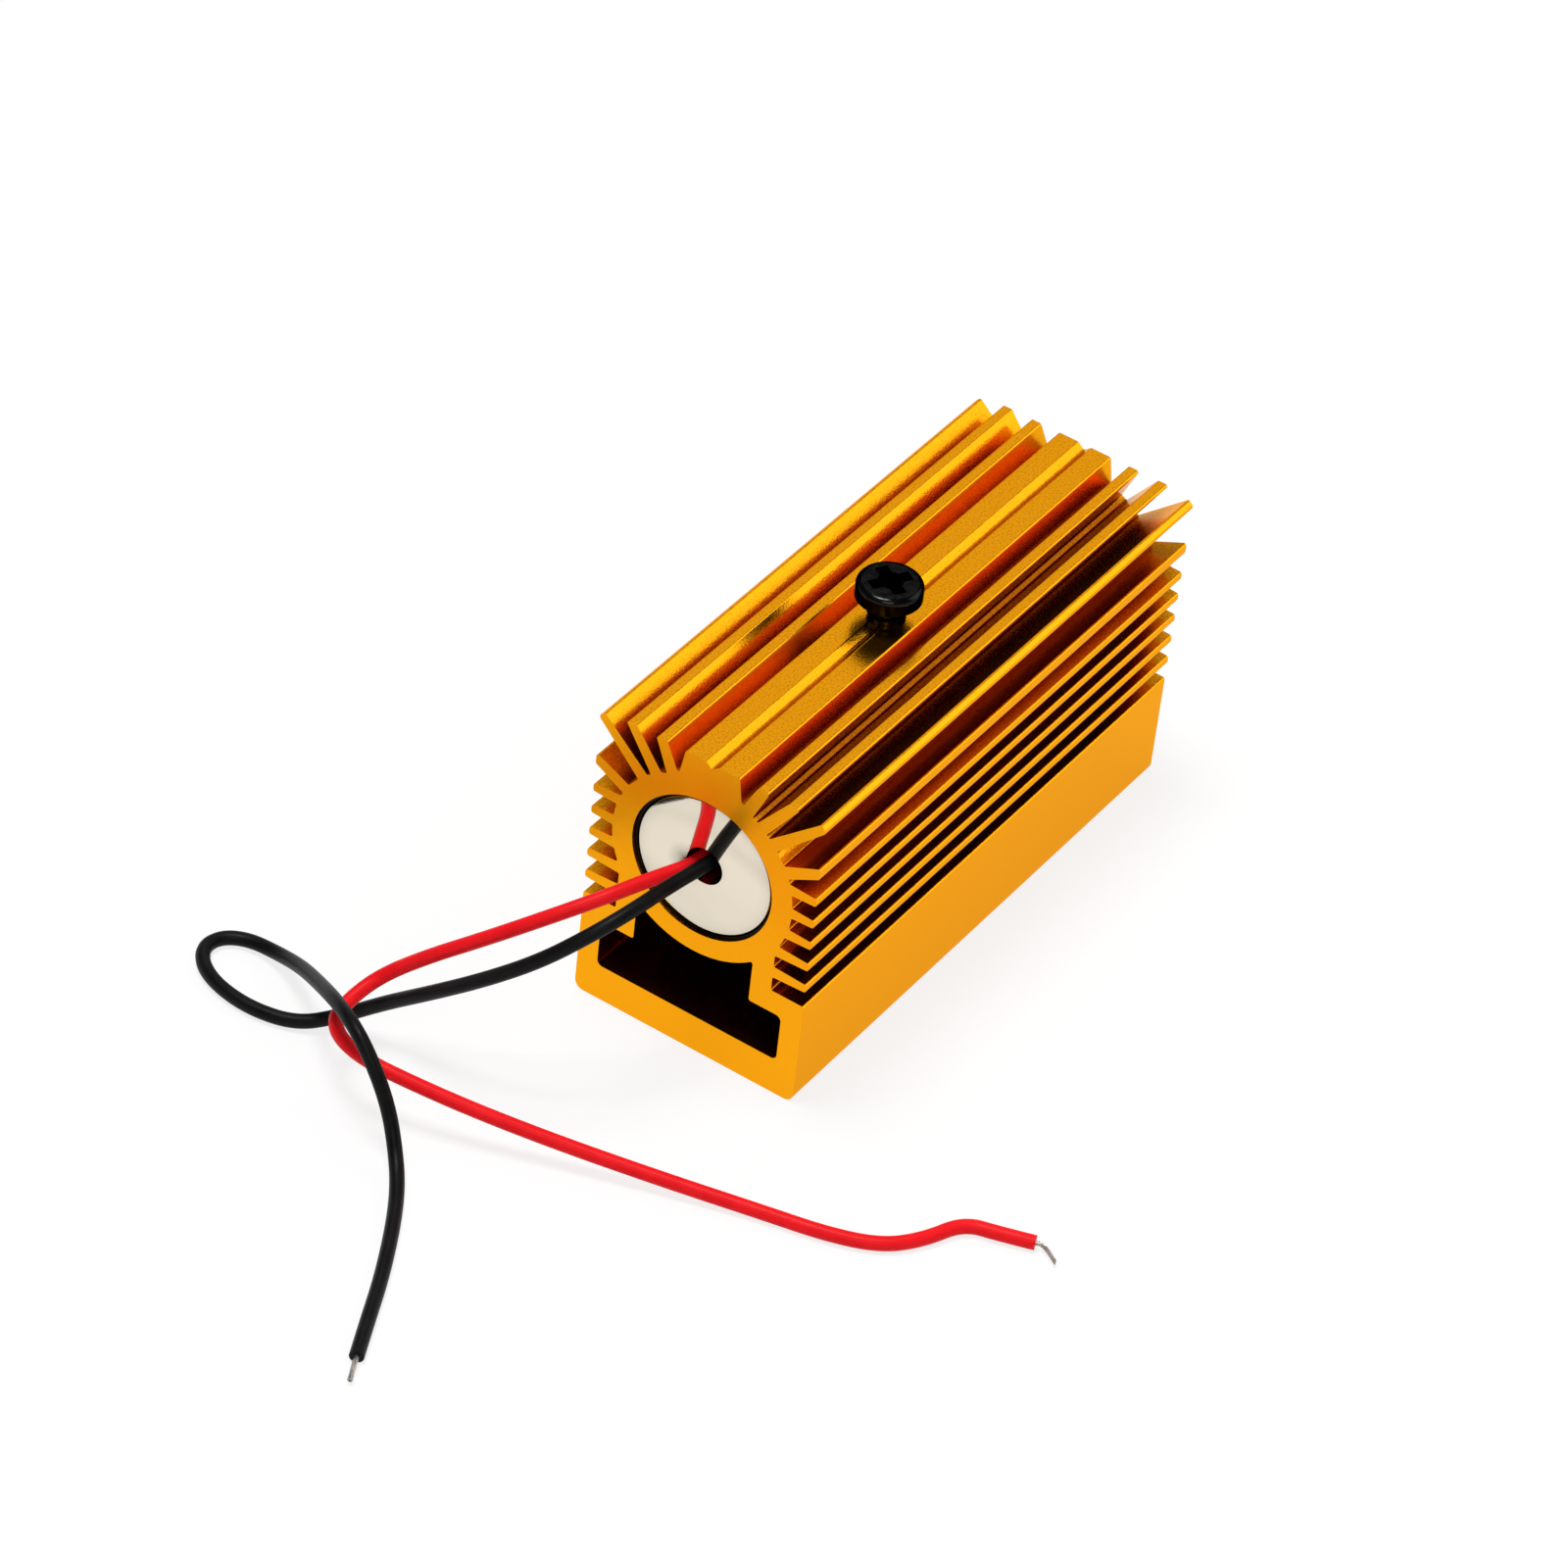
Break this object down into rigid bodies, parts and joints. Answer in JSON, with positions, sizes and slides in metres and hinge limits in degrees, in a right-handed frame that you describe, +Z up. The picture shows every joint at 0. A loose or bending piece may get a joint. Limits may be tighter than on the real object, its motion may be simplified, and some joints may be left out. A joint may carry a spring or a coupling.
{
  "type": "laser diode module",
  "caption": "Laser diode module clamped by a screw in a finned, gold anodised heat sink with a T-slot base, with red and black supply leads.",
  "frame": {"origin": "centre of the heat sink's flat underside, on the surface that it stands on", "axes": "+Z up, +Y along the bore towards the end where the beam leaves, +X across the heat sink"},
  "size_m": [0.0688, 0.0944, 0.0309],
  "materials": {
    "heat_sink": "gold anodised, fine satin",
    "clamp_screw": "black oxide",
    "module_sleeve": "shrunk sleeve",
    "module_barrel": "turned",
    "rear_cap": "mirror polished",
    "diode_holder": "turned",
    "diode_header": "gold plated",
    "diode_can": "nickel plated",
    "diode_window": "clear",
    "diode_submount": "gold plated",
    "diode_chip": "bare semiconductor",
    "anode_pin": "gold plated",
    "cathode_pin": "gold plated",
    "monitor_pin": "gold plated",
    "lens_cell": "turned",
    "collimating_lens": "polished and coated",
    "lens_retainer": "turned",
    "driver_board": "solder mask",
    "driver_chip": "moulded",
    "input_capacitor": "moulded",
    "output_capacitor": "fired ceramic",
    "sense_resistor": "glazed",
    "polarity_diode": "moulded",
    "red_joint": "solder",
    "black_joint": "solder",
    "red_lead": "smooth insulation",
    "black_lead": "smooth insulation",
    "red_lead_tip": "tinned strands",
    "black_lead_tip": "tinned strands"
  },
  "bodies": {
    "root": {"heat_sink": "heat_sink", "clamp_screw": "clamp_screw", "module_sleeve": "module_sleeve", "module_barrel": "module_barrel", "rear_cap": "rear_cap", "diode_holder": "diode_holder", "diode_header": "diode_header", "diode_can": "diode_can", "diode_window": "diode_window", "diode_submount": "diode_submount", "diode_chip": "diode_chip", "anode_pin": "anode_pin", "cathode_pin": "cathode_pin", "monitor_pin": "monitor_pin", "lens_cell": "lens_cell", "collimating_lens": "collimating_lens", "lens_retainer": "lens_retainer", "driver_board": "driver_board", "driver_chip": "driver_chip", "input_capacitor": "input_capacitor", "output_capacitor": "output_capacitor", "sense_resistor": "sense_resistor", "polarity_diode": "polarity_diode", "red_joint": "red_joint", "black_joint": "black_joint", "red_lead": "red_lead", "black_lead": "black_lead", "red_lead_tip": "red_lead_tip", "black_lead_tip": "black_lead_tip"}
  },
  "joints": []
}
